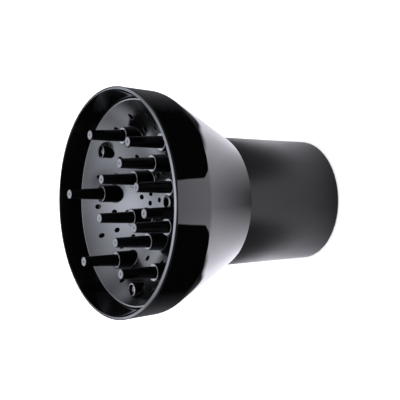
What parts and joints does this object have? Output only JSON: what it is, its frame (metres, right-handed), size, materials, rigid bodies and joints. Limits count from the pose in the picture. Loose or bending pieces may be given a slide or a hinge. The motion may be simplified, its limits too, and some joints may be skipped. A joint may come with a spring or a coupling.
{
  "type": "hair dryer diffuser",
  "caption": "Bell-shaped hair dryer diffuser: a soft neck sleeve feeds air to a concave perforated plate with hollow fingers inside a glossy bowl.",
  "frame": {"origin": "centre of the neck sleeve's open end, in the plane of that end", "axes": "+Z along the diffuser's axis, from the neck towards the bowl; +X through the first screw boss of the plate"},
  "size_m": [0.1506, 0.1506, 0.1599],
  "materials": {
    "gloss_black": "polished moulded black plastic",
    "inner_black": "as-moulded matt black plastic",
    "grey_rubber": "soft matt near-black moulded rubber",
    "screw_steel": "blackened, slightly worn on the heads"
  },
  "bodies": {
    "root": {"bell_shell": "gloss_black", "rim_bezel": "gloss_black", "finger_plate": "gloss_black", "outer_finger_1": "gloss_black", "outer_finger_2": "gloss_black", "outer_finger_3": "gloss_black", "outer_finger_4": "gloss_black", "outer_finger_5": "gloss_black", "outer_finger_6": "gloss_black", "inner_finger_1": "gloss_black", "inner_finger_2": "gloss_black", "inner_finger_3": "gloss_black", "inner_finger_4": "gloss_black", "inner_finger_5": "gloss_black", "inner_finger_6": "gloss_black", "plate_screw_1": "screw_steel", "plate_screw_2": "screw_steel", "plate_screw_3": "screw_steel", "clamp_screw_1": "screw_steel", "clamp_screw_2": "screw_steel", "clamp_screw_3": "screw_steel", "deflector_screw": "screw_steel", "air_deflector": "inner_black", "neck_clamp_ring": "inner_black", "neck_sleeve": "grey_rubber"}
  },
  "joints": []
}
